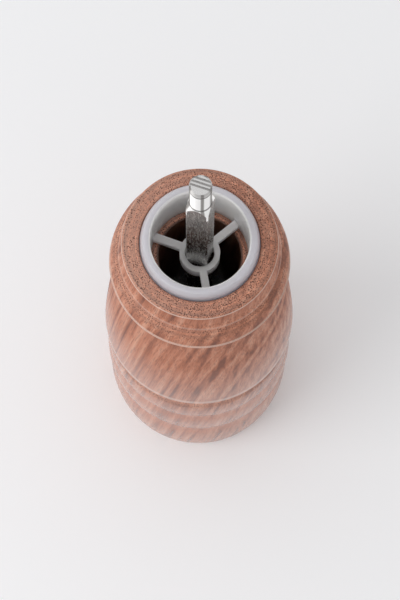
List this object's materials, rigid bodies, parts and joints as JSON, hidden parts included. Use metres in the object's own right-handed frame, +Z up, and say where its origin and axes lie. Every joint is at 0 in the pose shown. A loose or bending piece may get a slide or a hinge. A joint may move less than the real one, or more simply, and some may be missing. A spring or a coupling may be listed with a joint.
{
  "type": "pepper mill",
  "caption": "Turned wooden pepper mill body with its head off: spoked plastic collar, square drive shaft ending in a round spigot, and a spring-loaded burr grinder with a grind knob below.",
  "frame": {"origin": "centre of the mill's foot, on the surface it stands on", "axes": "+Z up along the drive shaft; -Y faces the picture's viewer, +X to the viewer's right"},
  "size_m": [0.06, 0.06, 0.1908],
  "materials": {
    "turned_wood": "turned hardwood, satin lacquer",
    "collar_plastic": "frosted translucent white polypropylene",
    "housing_plastic": "moulded ivory acetal",
    "plated_steel": "zinc-plated steel",
    "brass": "turned brass",
    "ceramic": "sintered white ceramic",
    "spring_steel": "tempered spring steel",
    "shaft_steel": "bright drawn steel, turned end",
    "knob_plastic": "moulded black plastic"
  },
  "bodies": {
    "mill_body": {"wood_body": "turned_wood", "top_collar": "collar_plastic", "grinder_housing": "housing_plastic", "housing_screws": "plated_steel", "bridge_bush": "brass", "stator_burr": "ceramic", "stator_circlip": "spring_steel"},
    "drive": {"drive_shaft": "shaft_steel", "clip_washer": "plated_steel", "shaft_clip": "spring_steel", "spring_seat": "plated_steel", "burr_spring": "spring_steel", "stud_clip": "spring_steel"},
    "rotor": {"rotor_carrier": "housing_plastic", "rotor_burr": "ceramic", "rotor_washer": "plated_steel"},
    "knob": {"grind_knob": "knob_plastic", "knob_insert": "brass"}
  },
  "joints": [
    {"name": "shaft_spin", "type": "hinge", "parent": "mill_body", "child": "drive", "pos_m": [0, 0, 0.1], "axis": [0, 0, 1], "continuous": true},
    {"name": "grind_set", "type": "slide", "parent": "drive", "child": "rotor", "axis": [0, 0, 1], "range_m": [0, 0.0012], "stiffness_N_per_m": 800, "springref_m": -0.0033, "deforming": ["burr_spring"]},
    {"name": "knob_turn", "type": "hinge", "parent": "rotor", "child": "knob", "pos_m": [0, 0, 0.006], "axis": [0, 0, 1], "range_deg": [0, 540]}
  ],
  "couplings": [
    {"joint": "knob_turn", "follows": "grind_set", "rad_per_m": 7853.9}
  ]
}
